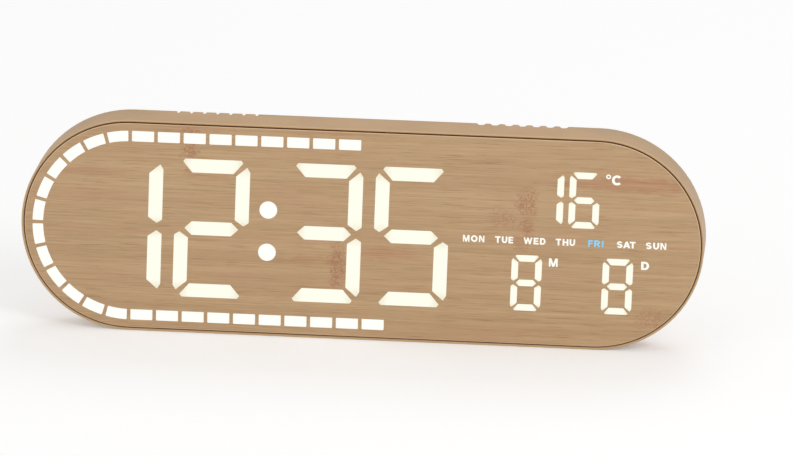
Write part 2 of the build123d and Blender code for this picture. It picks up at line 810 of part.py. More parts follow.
# Buttons: an oblong cap, the flange that keeps it in the case, and the stem down to its switch
for name, x in zip(button_names, button_xs):
    with BuildPart() as button:
        with BuildSketch(face_plane(button_face_y)) as cap:
            with Locations((x, button_z)):
                Rectangle(*button_size)
            chamfer(cap.vertices(), button_corner)
        extrude(amount=button_face_y - flange_y)
        with BuildSketch(face_plane(flange_y)):
            with Locations((x, button_z)):
                Rectangle(button_size[0] + 2 * button_flange, button_size[1] + 2 * button_flange)
        extrude(amount=button_flange_thickness)
        with BuildSketch(face_plane(flange_y - button_flange_thickness)):
            with Locations((x, button_z)):
                Rectangle(*button_stem)
        extrude(amount=flange_y - button_flange_thickness - plunger_face_y)
    save(button, f"{name}_button")
    with BuildPart() as plunger:
        with BuildSketch(face_plane(plunger_face_y)):
            with Locations((x, button_z)):
                Rectangle(*plunger_size)
        extrude(amount=plunger_face_y - plunger_foot_y)
    save(plunger, f"{name}_plunger")

with BuildPart() as switches:
    with BuildSketch(face_plane(switch_face_y)):
        with Locations(*[(x, button_z) for x in button_xs]):
            Rectangle(switch_size, switch_size)
    extrude(amount=switch_height)
    with BuildSketch(face_plane(switch_face_y)):
        with Locations(*[(x, button_z) for x in button_xs]):
            Rectangle(plunger_size[0] + 2 * plunger_clearance, plunger_size[1] + 2 * plunger_clearance)
    extrude(amount=switch_height - switch_base, mode=Mode.SUBTRACT)

save(switches, "push_switches")

# Coin cell, with a plate under it and a strip beside it, each with a tail down to the board
with BuildPart() as cell_contacts:
    with BuildSketch(face_plane(bay_floor_y + contact_thickness)):
        with Locations(battery_place):
            Rectangle(contact_width, 1.6 * cell_radius)
    extrude(amount=contact_thickness)
    with BuildSketch(face_plane(cell_back_y)):
        with Locations((strip_x, battery_place[1])):
            Rectangle(contact_thickness, contact_width, align=(Align.MIN, Align.CENTER))
    extrude(amount=cell_back_y - bay_floor_y)
    with BuildSketch(face_plane(bay_floor_y)):
        with Locations(*tail_places):
            Rectangle(contact_thickness, tail_width)
    extrude(amount=bay_floor_y - board_back_y)

save(cell_contacts, "cell_contacts")

with BuildPart() as coin_cell:
    with BuildSketch(face_plane(cell_back_y)):
        with Locations(battery_place):
            Circle(cell_radius)
    extrude(amount=cell_thickness)

save(coin_cell, "coin_cell")

# Door of the battery bay: two tabs at its head and a thumb grip at its foot
with BuildPart() as battery_door:
    with BuildSketch(face_plane(door_face_y)):
        with Locations(battery_place):
            Rectangle(*door_size)
    extrude(amount=door_thickness)
    with BuildSketch(face_plane(door_inner_y + tab_thickness)):
        with Locations((battery_place[0], door_top_z)):
            with GridLocations(tab_spread, 0, 2, 1):
                Rectangle(*tab_size, align=(Align.CENTER, Align.MIN))
    extrude(amount=tab_thickness)
    with BuildSketch(face_plane(door_face_y)):
        with Locations((battery_place[0], door_foot_z + grip_count * grip_pitch)):
            with GridLocations(0, grip_pitch, 1, grip_count):
                Rectangle(*grip_size)
    extrude(amount=grip_depth, mode=Mode.SUBTRACT)

save(battery_door, "battery_door")

# Power inlet with its centre pin
with BuildPart() as power_inlet:
    with BuildSketch(face_plane(jack_face_y)):
        with Locations(jack_place):
            Rectangle(jack_size, jack_size)
    extrude(amount=jack_height)
    with BuildSketch(face_plane(jack_face_y)):
        with Locations(jack_place):
            Circle(jack_bore_radius)
    extrude(amount=jack_bore_depth, mode=Mode.SUBTRACT)

save(power_inlet, "power_inlet")

with BuildPart() as inlet_pin:
    with BuildSketch(face_plane(jack_face_y - jack_bore_depth + jack_pin_length)):
        with Locations(jack_place):
            Circle(jack_pin_radius)
    extrude(amount=jack_pin_length)

save(inlet_pin, "inlet_pin")

# Parts soldered to the back of the board
with BuildPart() as buzzer:
    with BuildSketch(face_plane(board_back_y + buzzer_height)):
        with Locations(buzzer_place):
            Rectangle(buzzer_size, buzzer_size)
    extrude(amount=buzzer_height)

save(buzzer, "alarm_buzzer")

with BuildPart() as chips:
    with BuildSketch(face_plane(board_back_y + chip_height)):
        with Locations(*chip_places):
            Rectangle(*chip_size)
    extrude(amount=chip_height)

save(chips, "driver_chips")

with BuildPart() as crystal:
    with BuildSketch(face_plane(board_back_y + crystal_height)):
        with Locations(crystal_place):
            Rectangle(*crystal_size)
    extrude(amount=crystal_height)

save(crystal, "clock_crystal")

with BuildPart() as capacitor:
    with BuildSketch(face_plane(board_back_y + capacitor_height)):
        with Locations(capacitor_place):
            Rectangle(*capacitor_size)
    extrude(amount=capacitor_height)

save(capacitor, "supply_capacitor")

with BuildPart() as regulator:
    with BuildSketch(face_plane(board_back_y + regulator_height)):
        with Locations(regulator_place):
            Rectangle(*regulator_size)
    extrude(amount=regulator_height)

save(regulator, "voltage_regulator")

# Temperature sensor in a small block on two bare leads, up beside the vents
with BuildPart() as thermistor:
    with BuildSketch(face_plane(sensor_foot_y)):
        with Locations(thermistor_place):
            with GridLocations(thermistor_lead_pitch, 0, 2, 1):
                Rectangle(thermistor_lead, thermistor_lead)
    extrude(amount=sensor_foot_y - board_back_y)
    with BuildSketch(face_plane(sensor_foot_y + thermistor_length)):
        with Locations(thermistor_place):
            Rectangle(*thermistor_size)
    extrude(amount=thermistor_length)

save(thermistor, "thermistor")
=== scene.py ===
import json
import math

import bmesh
import bpy
from mathutils import Matrix, Vector
from mathutils.geometry import delaunay_2d_cdt

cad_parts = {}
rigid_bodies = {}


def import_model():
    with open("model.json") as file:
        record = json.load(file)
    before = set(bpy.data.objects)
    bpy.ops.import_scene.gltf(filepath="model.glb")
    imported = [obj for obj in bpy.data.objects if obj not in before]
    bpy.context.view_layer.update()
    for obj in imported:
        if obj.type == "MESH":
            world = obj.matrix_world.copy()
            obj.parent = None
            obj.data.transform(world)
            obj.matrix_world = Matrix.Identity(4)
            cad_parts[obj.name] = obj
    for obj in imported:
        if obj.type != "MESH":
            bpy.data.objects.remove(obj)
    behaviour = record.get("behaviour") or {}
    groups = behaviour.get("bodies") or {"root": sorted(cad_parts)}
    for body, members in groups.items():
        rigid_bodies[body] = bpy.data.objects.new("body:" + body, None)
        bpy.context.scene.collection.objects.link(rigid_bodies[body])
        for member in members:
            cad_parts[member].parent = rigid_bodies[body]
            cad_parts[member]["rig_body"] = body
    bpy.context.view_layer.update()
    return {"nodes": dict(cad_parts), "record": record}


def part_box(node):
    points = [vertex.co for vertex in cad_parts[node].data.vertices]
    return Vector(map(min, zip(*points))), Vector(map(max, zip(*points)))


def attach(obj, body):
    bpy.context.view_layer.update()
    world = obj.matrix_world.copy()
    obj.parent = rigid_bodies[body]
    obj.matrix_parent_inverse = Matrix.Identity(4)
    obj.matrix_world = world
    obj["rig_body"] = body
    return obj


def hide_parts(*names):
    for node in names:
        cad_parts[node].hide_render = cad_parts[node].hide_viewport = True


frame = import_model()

MM = 0.001
nodes = frame["nodes"]
slots = {entry["node"]: entry["material_slot"] for entry in frame["record"]["subparts"]}

# Places that the frame gives
panel_low, panel_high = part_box("front_panel")
case_low, case_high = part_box("rear_housing")
face_y = panel_low.y
panel_back_y = panel_high.y
middle_z = (case_low.z + case_high.z) / 2
end_radius = (case_high.z - case_low.z) / 2
half_straight = case_high.x - end_radius
panel_radius = (panel_high.z - panel_low.z) / 2

# Softness of the windows' corners
stroke_corner = 0.3 * MM
small_corner = 0.35 * MM
cell_corner = 0.5 * MM
small_window = 4.5 * MM
corner_share = 0.45
corner_steps = 4
sharp_turn = math.radians(20)

# The panel's rounded rim
rim_radius = 0.4 * MM
rim_steps = 4
rim_margin = 0.1 * MM

# What counts as the same place, as the same depth, as facing the front or back, and as a round face
same_place = 0.002 * MM
same_depth = 0.01 * MM
level_facing = 0.9999
smooth_angle = math.radians(27)
# How near points of outlines lie that become one, in metres, and for letters of a height of one
joined_reach = 1e-7
joined_letter_reach = 1e-6


def colour(red, green, blue):
    """A colour as a paint chart gives it, 0 to 255, in the linear values that nodes take."""
    linear = []
    for level in (red, green, blue):
        level /= 255
        linear.append(level / 12.92 if level <= 0.04045 else ((level + 0.055) / 1.055) ** 2.4)
    return (*linear, 1.0)


# Node building

def new_group(name, inputs, outputs):
    """An empty shader node group with these sockets: (name, type, default if it has one)."""
    group = bpy.data.node_groups.new(name, "ShaderNodeTree")
    for direction, sockets in (("INPUT", inputs), ("OUTPUT", outputs)):
        for label, kind, *default in sockets:
            socket = group.interface.new_socket(
                label, in_out=direction, socket_type=f"NodeSocket{kind}"
            )
            if default:
                socket.default_value = default[0]
    return group, group.nodes.new("NodeGroupInput"), group.nodes.new("NodeGroupOutput")


def feed(tree, node, values):
    """Gives inputs of a node these values or links."""
    for key, value in values.items():
        if isinstance(value, bpy.types.NodeSocket):
            tree.links.new(value, node.inputs[key])
        else:
            node.inputs[key].default_value = value


def add(tree, kind, values=None, **settings):
    """A node in a tree, with its settings and the values or links of its inputs."""
    node = tree.nodes.new(kind)
    for key, value in settings.items():
        setattr(node, key, value)
    feed(tree, node, values or {})
    return node


def maths(tree, operation, *values, clamp=False):
    """A Math node's result for these values or sockets."""
    values = dict(enumerate(values))
    return add(tree, "ShaderNodeMath", values, operation=operation, use_clamp=clamp).outputs[0]


def vector_maths(tree, operation, *values):
    """A Vector Math node for these values or sockets."""
    return add(tree, "ShaderNodeVectorMath", dict(enumerate(values)), operation=operation)


def scaled(tree, vector, scale):
    """A vector with each of its three parts multiplied by this scale."""
    return vector_maths(tree, "MULTIPLY", vector, scale).outputs[0]


def noise(tree, vector, detail=3.0, roughness=0.55):
    """Plain noise at this vector's own scale."""
    values = {"Vector": vector, "Scale": 1.0, "Detail": detail, "Roughness": roughness}
    return add(tree, "ShaderNodeTexNoise", values).outputs["Fac"]


def ranged(tree, value, low, high, to_low=0.0, to_high=1.0):
    """A value brought from one range to another, smoothly and clamped."""
    values = {
        "Value": value,
        "From Min": low,
        "From Max": high,
        "To Min": to_low,
        "To Max": to_high,
    }
    node = add(tree, "ShaderNodeMapRange", values, interpolation_type="SMOOTHSTEP")
    return node.outputs["Result"]


def mixed(tree, factor, first, second):
    """Two colours mixed by a factor."""
    values = {0: factor, 6: first, 7: second}
    return add(tree, "ShaderNodeMix", values, data_type="RGBA").outputs[2]


def bump(tree, height, strength, distance):
    """Normals from a height."""
    values = {"Height": height, "Strength": strength, "Distance": distance}
    return add(tree, "ShaderNodeBump", values).outputs["Normal"]


def millimetres(tree):
    """The point on the object, in millimetres."""
    point = add(tree, "ShaderNodeTexCoord").outputs["Object"]
    return scaled(tree, point, (1 / MM, 1 / MM, 1 / MM))


# The range that most of a noise lies in
noise_range = (0.3, 0.7)

# Layers of the bamboo's grain: noise scale per millimetre along x, y and z, detail and roughness
grain_layers = {
    "strips": ((0.004, 0.3, 0.17), 2.0, 0.55),
    "fibres": ((0.009, 0.6, 0.85), 5.0, 0.7),
    "threads": ((0.022, 1.0, 1.9), 4.0, 0.74),
    "dashes": ((0.05, 1.0, 2.3), 3.0, 0.5),
    "warmth": ((0.008, 0.3, 0.11), 3.0, 0.6),
}
# The range of a layer's noise that counts in the shade, and what it adds there
shade_parts = {
    "strips": (0.25, 0.75, 0.2),
    "fibres": (0.32, 0.68, 0.24),
    "threads": (0.3, 0.7, 0.44),
    "dashes": (0.57, 0.64, -0.42),
}
base_shade = 0.13
warmth_range = (0.45, 0.72)
lines_range = (0.4, 0.58)
fibres_in_lines = 0.6
threads_in_lines = 0.4
threads_in_height = 0.5


def fibre_group():
    """Straight bamboo fibres along X: shade, lines, a slow drift of colour and a fine height."""
    group, given, out = new_group(
        "bamboo_fibres",
        [("Point", "Vector")],
        [("Shade", "Float"), ("Lines", "Float"), ("Warmth", "Float"), ("Height", "Float")],
    )
    point = given.outputs["Point"]
    layers = {
        name: noise(group, scaled(group, point, scale), detail, roughness)
        for name, (scale, detail, roughness) in grain_layers.items()
    }
    shade = base_shade
    for name, (low, high, share) in shade_parts.items():
        part = ranged(group, layers[name], low, high)
        shade = maths(group, "MULTIPLY_ADD", part, share, shade)
    threads, fibres = layers["threads"], layers["fibres"]
    lines = maths(group, "MULTIPLY", threads, threads_in_lines)
    lines = maths(group, "MULTIPLY_ADD", fibres, fibres_in_lines, lines)
    feed(group, out, {
        "Shade": shade,
        "Lines": ranged(group, lines, *lines_range),
        "Warmth": ranged(group, layers["warmth"], *warmth_range),
        "Height": maths(group, "MULTIPLY_ADD", threads, threads_in_height, fibres),
    })
    return group


# The crackle of a joint mark: noise scales per millimetre, and how far the cells are bent
bend_scale = (0.25, 1.0, 0.4)
bend_reach = (2.6, 0.0, 2.4)
cell_scale = (0.45, 1.0, 0.6)
vein_range = (0.15, 0.03)
vein_strength = 0.9
fleck_scale = (0.4, 1.0, 0.85)
fleck_range = (0.54, 0.64)
wobble_scale = (0.14, 1.0, 0.3)
wobble_middle = 0.5


def crackle_group():
    """The fine crackle of a bamboo stem's joint, and a wobble for the edges of its marks."""
    group, given, out = new_group(
        "bamboo_crackle",
        [("Point", "Vector")],
        [("Crackle", "Float"), ("Wobble", "Float")],
    )
    point = given.outputs["Point"]
    values = {"Vector": scaled(group, point, bend_scale), "Scale": 1.0, "Detail": 2.0}
    bend = add(group, "ShaderNodeTexNoise", values).outputs["Color"]
    bent = vector_maths(group, "MULTIPLY_ADD", bend, bend_reach, point).outputs[0]
    values = {"Vector": scaled(group, bent, cell_scale), "Scale": 1.0}
    cells = add(group, "ShaderNodeTexVoronoi", values, feature="DISTANCE_TO_EDGE")
    veins = ranged(group, cells.outputs["Distance"], *vein_range)
    veins = maths(group, "MULTIPLY", veins, vein_strength)
    flecks = noise(group, scaled(group, point, fleck_scale), detail=3.0, roughness=0.7)
    flecks = ranged(group, flecks, *fleck_range)
    wobble = noise(group, scaled(group, point, wobble_scale), detail=3.0, roughness=0.65)
    feed(group, out, {
        "Crackle": maths(group, "MAXIMUM", veins, flecks),
        "Wobble": maths(group, "SUBTRACT", wobble, wobble_middle),
    })
    return group


# A soft patch: how far its edge wobbles, and the distances at which it starts and is full
wobble_reach = 2.2
patch_range = (1.25, 0.45)


def patch_group():
    """A soft patch about a centre, with a wobbly edge."""
    group, given, out = new_group(
        "soft_patch",
        [("Point", "Vector"), ("Wobble", "Float"), ("Centre", "Vector"), ("Reach", "Vector")],
        [("Mask", "Float")],
    )
    given = given.outputs
    offset = vector_maths(group, "SUBTRACT", given["Point"], given["Centre"]).outputs[0]
    spread = vector_maths(group, "DIVIDE", offset, given["Reach"]).outputs[0]
    distance = vector_maths(group, "LENGTH", spread).outputs["Value"]
    distance = maths(group, "MULTIPLY_ADD", given["Wobble"], wobble_reach, distance)
    feed(group, out, {"Mask": ranged(group, distance, *patch_range)})
    return group


# A moulded surface: the usual size of its grain in millimetres, and the cloud's scale
grain_millimetres = 0.35
cloud_scale = (0.03, 0.03, 0.03)


def moulded_group():
    """Fine spark-eroded grain of a moulded part, with a faint cloud in its colour."""
    group, given, out = new_group(
        "moulded_grain",
        [("Point", "Vector"), ("Grain Size", "Float", grain_millimetres)],
        [("Cloud", "Float"), ("Grain", "Float")],
    )
    given = given.outputs
    values = {0: given["Point"], "Scale": maths(group, "DIVIDE", 1.0, given["Grain Size"])}
    fine = add(group, "ShaderNodeVectorMath", values, operation="SCALE").outputs[0]
    cloud = noise(group, scaled(group, given["Point"], cloud_scale))
    feed(group, out, {
        "Cloud": ranged(group, cloud, *noise_range),
        "Grain": noise(group, fine, detail=2.0, roughness=0.6),
    })
    return group


fibre_tree = fibre_group()
crackle_tree = crackle_group()
patch_tree = patch_group()
moulded_tree = moulded_group()


# Materials

def new_material(name, **principled):
    """A material with one Principled shader, its plain values set, and its tree."""
    material = bpy.data.materials.new(name)
    material.use_nodes = True
    tree = material.node_tree
    shader = tree.nodes["Principled BSDF"]
    for key, value in principled.items():
        label = key.replace("_", " ").title().replace("Ior", "IOR")
        shader.inputs[label].default_value = value
    return material, tree, shader


# Joint marks of the stem, in millimetres: middle across and up from the panel's middle,
# half width, half height, and strength
joint_marks = [
    (-96.5, 55.5, 6.5, 2.6, 0.9),
    (-96.0, 44.5, 5.4, 6.0, 1.0),
    (-97.0, 33.0, 2.6, 1.8, 0.8),
    (-13.2, -18.5, 5.0, 15.0, 1.0),
    (91.5, 22.5, 6.5, 9.5, 0.95),
    (91.5, 7.5, 4.6, 9.0, 0.85),
    (79.5, 13.0, 9.0, 6.0, 0.55),
    (88.0, -1.0, 5.0, 6.5, 0.6),
    (162.0, -41.0, 12.0, 7.0, 0.55),
]
# Warm streaks along the fibres, in the same measures
warm_streaks = [
    (152.0, 35.0, 44.0, 4.4, 0.9),
    (150.0, 41.5, 34.0, 2.4, 0.4),
    (116.0, 37.0, 24.0, 4.2, 0.35),
    (14.0, -9.8, 22.0, 4.2, 0.6),
    (-30.0, -15.6, 15.0, 3.0, 0.5),
    (-150.0, 31.0, 20.0, 3.2, 0.3),
    (-85.0, 30.5, 17.0, 1.8, 0.4),
    (78.0, 25.0, 8.0, 1.3, 0.3),
    (-92.0, 57.4, 24.0, 1.8, 0.5),
    (171.0, 0.0, 18.0, 1.6, 0.3),
    (-20.0, 57.2, 30.0, 1.4, 0.3),
]
# A patch reaches through the whole panel
patch_depth = 1000.0

bamboo_dark = colour(168, 133, 93)
bamboo_light = colour(212, 177, 136)
# Colours laid over the fibres, each with its share
warm_bands = (0.34, colour(193, 147, 113))
mark_stain = (0.12, colour(190, 134, 100))
mark_flecks = (0.66, colour(162, 100, 70))
# The streaks' colour, the share of it that lies everywhere, and what the dark lines add to that
streak_brown = colour(180, 118, 82)
streak_evenly = 0.28
streak_in_lines = 0.4
# Painted light on the panel's edges behind its face: where each colour starts and is full, in
# millimetres
# A painted highlight on the rounded rim just behind the face
painted_rim_highlight = (0.001, 0.01, colour(232, 206, 168))
# Painted shade on the panel's sides deeper behind the face, as in the gap to the case
painted_gap_shade = (0.12, 0.28, colour(150, 98, 56))
# Roughness of the darkest and the lightest fibres, and the relief
fibre_range = (0.2, 0.9)
fibre_roughness = (0.56, 0.46)
fleck_height = -0.6
bamboo_relief = (0.25, 0.1 * MM)


def patches(tree, point, wobble, places):
    """One mask for many soft patches on the panel."""
    total = 0.0
    for x, z, half_width, half_height, strength in places:
        values = {
            "Point": point,
            "Wobble": wobble,
            "Centre": (x, face_y / MM, middle_z / MM + z),
            "Reach": (half_width, patch_depth, half_height),
        }
        mask = add(tree, "ShaderNodeGroup", values, node_tree=patch_tree).outputs["Mask"]
        total = maths(tree, "MAXIMUM", maths(tree, "MULTIPLY", mask, strength), total)
    return total


def depth_share(tree, point, start, full):
    """How far a point lies behind the clock's face: none until the start, full from there on."""
    depth = add(tree, "ShaderNodeSeparateXYZ", {0: point}).outputs[1]
    return ranged(tree, depth, face_y / MM + start, face_y / MM + full)


def laid_over(tree, paint, mask, share, cover):
    """A paint with a cover colour over it, by this share of the mask."""
    return mixed(tree, maths(tree, "MULTIPLY", mask, share), paint, cover)


def bamboo_material():
    """Pale bamboo with a matt lacquer: fibres, slow bands, joint marks, warm streaks, a painted
    highlight on the rim and painted shade on the sides behind it.
    """
    material, tree, shader = new_material("bamboo", roughness=0.5)
    point = millimetres(tree)
    fibre = add(tree, "ShaderNodeGroup", {"Point": point}, node_tree=fibre_tree).outputs
    joint = add(tree, "ShaderNodeGroup", {"Point": point}, node_tree=crackle_tree).outputs
    streaks = patches(tree, point, joint["Wobble"], warm_streaks)
    marks = patches(tree, point, joint["Wobble"], joint_marks)
    between_lines = maths(tree, "SUBTRACT", 1.0, fibre["Lines"])
    lined = maths(tree, "MULTIPLY_ADD", between_lines, streak_in_lines, streak_evenly)
    flecked = maths(tree, "MULTIPLY", marks, joint["Crackle"])
    paint = mixed(tree, fibre["Shade"], bamboo_dark, bamboo_light)
    paint = laid_over(tree, paint, fibre["Warmth"], *warm_bands)
    paint = laid_over(tree, paint, streaks, lined, streak_brown)
    paint = laid_over(tree, paint, marks, *mark_stain)
    paint = laid_over(tree, paint, flecked, *mark_flecks)
    # Painted light by depth behind the face: the rim's painted highlight, then painted shade on the
    # sides
    for start, full, cover in (painted_rim_highlight, painted_gap_shade):
        paint = mixed(tree, depth_share(tree, point, start, full), paint, cover)
    height = maths(tree, "MULTIPLY_ADD", flecked, fleck_height, fibre["Height"])
    feed(tree, shader, {
        "Base Color": paint,
        "Roughness": ranged(tree, fibre["Shade"], *fibre_range, *fibre_roughness),
        "Normal": bump(tree, height, *bamboo_relief),
    })
    return material


# How much smoother and rougher than usual a surface gets, and its relief
moulded_spread = (-0.04, 0.06)
moulded_depth = 0.05 * MM
metal_spread = (-0.08, 0.1)
metal_relief = (0.08, 0.03 * MM)
# A case's front lip, painted lighter as a painted highlight: where its colour starts to fade and is
# gone, in millimetres behind the face
lip_highlight_range = (0.4, 0.65)


def moulded_material(name, light, dark, roughness=0.42, grain_size=grain_millimetres, grain=0.12,
                     gloss=0.5, lip=None):
    """A moulded plastic: a faint cloud between two near colours, a fine grain, maybe a front edge
    painted lighter as a painted highlight.
    """
    material, tree, shader = new_material(name, roughness=roughness, specular_ior_level=gloss)
    point = millimetres(tree)
    values = {"Point": point, "Grain Size": grain_size}
    texture = add(tree, "ShaderNodeGroup", values, node_tree=moulded_tree).outputs
    paint = mixed(tree, texture["Cloud"], colour(*dark), colour(*light))
    # Painted highlight: the front lip takes a lighter colour, which fades out behind it
    if lip:
        paint = mixed(tree, depth_share(tree, point, *lip_highlight_range), colour(*lip), paint)
    limits = [roughness + change for change in moulded_spread]
    feed(tree, shader, {
        "Base Color": paint,
        "Roughness": ranged(tree, texture["Grain"], *noise_range, *limits),
        "Normal": bump(tree, texture["Grain"], grain, moulded_depth),
    })
    return material


def metal_material(name, light, dark, roughness=0.32, brushing=(0.6, 0.6, 8.0)):
    """A bare metal with a fine brushed or drawn finish."""
    material, tree, shader = new_material(name, metallic=1.0, roughness=roughness)
    lines = noise(tree, scaled(tree, millimetres(tree), brushing), detail=4.0, roughness=0.7)
    limits = [roughness + change for change in metal_spread]
    share = ranged(tree, lines, *noise_range)
    feed(tree, shader, {
        "Base Color": mixed(tree, share, colour(*dark), colour(*light)),
        "Roughness": ranged(tree, lines, *noise_range, *limits),
        "Normal": bump(tree, lines, *metal_relief),
    })
    return material


# A lit piece: its own milky grey, where along a stroke the light fades, and how that edge wanders
milky_grey = colour(36, 35, 32)
fade_range = (0.62, 1.05)
speckle_scale = (0.5, 0.5, 0.5)
speckle_middle = 0.5
speckle_reach = 0.25


def lit_material(name, glow, tip_glow):
    """A milky piece lit from behind, a little fainter towards the tips of its stroke."""
    material, tree, shader = new_material(
        name, roughness=0.6, base_color=milky_grey, emission_strength=1.0
    )
    place = add(tree, "ShaderNodeUVMap", uv_map="stroke").outputs[0]
    along = add(tree, "ShaderNodeSeparateXYZ", {0: place}).outputs[0]
    end = maths(tree, "ABSOLUTE", along)
    speckle = noise(tree, scaled(tree, millimetres(tree), speckle_scale), detail=2.0)
    speckle = maths(tree, "SUBTRACT", speckle, speckle_middle)
    tip = maths(tree, "MULTIPLY_ADD", speckle, speckle_reach, end)
    fade = ranged(tree, tip, *fade_range)
    feed(tree, shader, {"Emission Color": mixed(tree, fade, colour(*glow), colour(*tip_glow))})
    return material


# Each slot's material: its name, light and dark colour, and what differs from the usual finish
moulded_parts = {
    # The case's front lip gets a lighter colour, a painted highlight
    "case_plastic": ("case_plastic", (203, 168, 127), (196, 161, 120),
                     {"gloss": 0.15, "lip": (210, 177, 136)}),
    "button_plastic": ("button_plastic", (190, 157, 118), (183, 150, 111), {"gloss": 0.15}),
    "diffuser": ("diffuser", (240, 240, 233), (234, 234, 227), {"roughness": 0.6}),
    "tape": ("tape", (34, 34, 35), (28, 28, 29), {"roughness": 0.8}),
    "reflector_plastic": ("reflector_plastic", (242, 242, 238), (235, 235, 230), {}),
    "board": ("board_lacquer", (236, 238, 232), (226, 229, 221),
              {"roughness": 0.35, "grain_size": 1.2, "grain": 0.05}),
    "lamp": ("lamp_body", (250, 240, 180), (240, 226, 150),
             {"roughness": 0.25, "grain_size": 0.8, "grain": 0.02}),
    "switch_plastic": ("switch_plastic", (44, 44, 46), (38, 38, 40), {}),
    "inlet_plastic": ("inlet_plastic", (32, 32, 33), (26, 26, 27), {"roughness": 0.4}),
    "buzzer_plastic": ("buzzer_plastic", (32, 32, 34), (26, 26, 28), {"roughness": 0.5}),
    "chip_plastic": ("chip_epoxy", (38, 38, 40), (32, 32, 34),
                     {"roughness": 0.55, "grain_size": 0.2}),
    "bead_glass": ("bead_epoxy", (40, 36, 32), (32, 28, 26), {"roughness": 0.3}),
}
metal_parts = {
    "screw_steel": ("screw_zinc", (176, 178, 182), (132, 134, 138), {}),
    "pin_steel": ("pin_steel", (190, 190, 192), (160, 160, 162), {"roughness": 0.25}),
    "contact_metal": ("contact_nickel", (216, 206, 176), (190, 178, 146), {"roughness": 0.28}),
    "cell_steel": ("cell_steel", (206, 206, 208), (178, 178, 180),
                   {"roughness": 0.3, "brushing": (8.0, 0.6, 0.6)}),
    "can_metal": ("can_metal", (214, 214, 216), (188, 188, 190), {"roughness": 0.35}),
}
# The lit pieces' light, in the middle of a stroke and at its tips
lit_parts = {
    "lit_lens": ("lit_strokes", (251, 250, 234), (236, 230, 204), {}),
    "lit_ring": ("lit_ring", (252, 252, 246), (250, 248, 240), {}),
    "lit_word": ("lit_word", (254, 254, 246), (245, 244, 228), {}),
    "lit_day": ("lit_day", (132, 208, 246), (112, 194, 238), {}),
}
materials = {"bamboo": bamboo_material()}
for make, parts in (
    (lit_material, lit_parts),
    (moulded_material, moulded_parts),
    (metal_material, metal_parts),
):
    for slot, (name, light, dark, finish) in parts.items():
        materials[slot] = make(name, light, dark, **finish)

for name, node in nodes.items():
    node.data.materials.clear()
    node.data.materials.append(materials[slots[name]])


# Meshes

def body_of(node_name):
    """The body that a CAD node belongs to."""
    return nodes[node_name]["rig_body"]


def placed(name, data):
    """A new object in the scene."""
    thing = bpy.data.objects.new(name, data)
    bpy.context.scene.collection.objects.link(thing)
    return thing


def finish_piece(name, mesh, material, node_name, replaced=()):
    """A finished piece from a mesh: its object, material, shading and body."""
    mesh.materials.clear()
    mesh.materials.append(materials[material])
    mesh.shade_smooth()
    mesh.set_sharp_from_angle(angle=smooth_angle)
    for polygon in mesh.polygons:
        polygon.use_smooth = abs(polygon.normal.y) < level_facing
    piece = placed(name, mesh)
    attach(piece, body_of(node_name))
    if replaced:
        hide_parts(*replaced)


def merged_mesh(node_name):
    """A CAD node's mesh, with its loose triangles joined."""
    work = bmesh.new()
    work.from_mesh(nodes[node_name].data)
    bmesh.ops.remove_doubles(work, verts=work.verts, dist=same_place)
    return work


def smoothed(node_name):
    """A CAD node with its round faces shaded as round."""
    work = merged_mesh(node_name)
    mesh = bpy.data.meshes.new(f"{node_name}_smooth")
    work.to_mesh(mesh)
    work.free()
    finish_piece(f"{node_name}_smooth", mesh, slots[node_name], node_name, (node_name,))


def outline_loops(node_name, depth):
    """The closed outlines that a node's flat face has at this depth, as lists of (x, z)."""
    work = merged_mesh(node_name)
    flat = {
        face for face in work.faces
        if all(abs(vertex.co.y - depth) < same_depth for vertex in face.verts)
    }
    ways = {}
    for edge in work.edges:
        if sum(face in flat for face in edge.link_faces) == 1:
            for vertex in edge.verts:
                ways.setdefault(vertex, []).append(edge.other_vert(vertex))
    loops = []
    while ways:
        vertex, last = next(iter(ways)), None
        loop = []
        while vertex in ways:
            loop.append((vertex.co.x, vertex.co.z))
            vertex, last = next(v for v in ways.pop(vertex) if v is not last), vertex
        loops.append(loop)
    work.free()
    return loops


def softened(loop, reach):
    """An outline with its sharp corners rounded, each over this length of its sides."""
    points = [Vector(point) for point in loop]
    soft = []
    for index, corner in enumerate(points):
        before = points[index - 1] - corner
        after = points[(index + 1) % len(points)] - corner
        if math.pi - before.angle(after) < sharp_turn:
            soft.append(corner)
            continue
        cut = min(reach, before.length * corner_share, after.length * corner_share)
        first = corner + before.normalized() * cut
        last = corner + after.normalized() * cut
        for step in range(corner_steps + 1):
            t = step / corner_steps
            soft.append((1 - t) ** 2 * first + 2 * t * (1 - t) * corner + t ** 2 * last)
    return [(point.x, point.y) for point in soft]


def turned_left(loop):
    """An outline with its inside on its left."""
    doubled = sum(a[0] * b[1] - b[0] * a[1] for a, b in zip(loop, loop[1:] + loop[:1]))
    return loop if doubled > 0 else loop[::-1]


def flat_triangles(loops, kept, reach=joined_reach):
    """Corners of flat outlines, and the triangles that lie in a kept number of the outlines."""
    loops = [turned_left(loop) for loop in loops]
    points = [Vector(point) for loop in loops for point in loop]
    faces = []
    first = 0
    for loop in loops:
        faces.append(list(range(first, first + len(loop))))
        first += len(loop)
    corners, _, triangles, *origins = delaunay_2d_cdt(points, [], faces, 1, reach)
    counts = [len(outlines) for outlines in origins[-1]]
    return corners, [triangle for triangle, count in zip(triangles, counts) if kept(count)]


def border_of(triangles):
    """The directed sides that only one triangle has, its inside on their left."""
    uses = {}
    for triangle in triangles:
        for a, b in zip(triangle, triangle[1:] + triangle[:1]):
            key = frozenset((a, b))
            uses[key] = None if key in uses else (a, b)
    return [side for side in uses.values() if side]


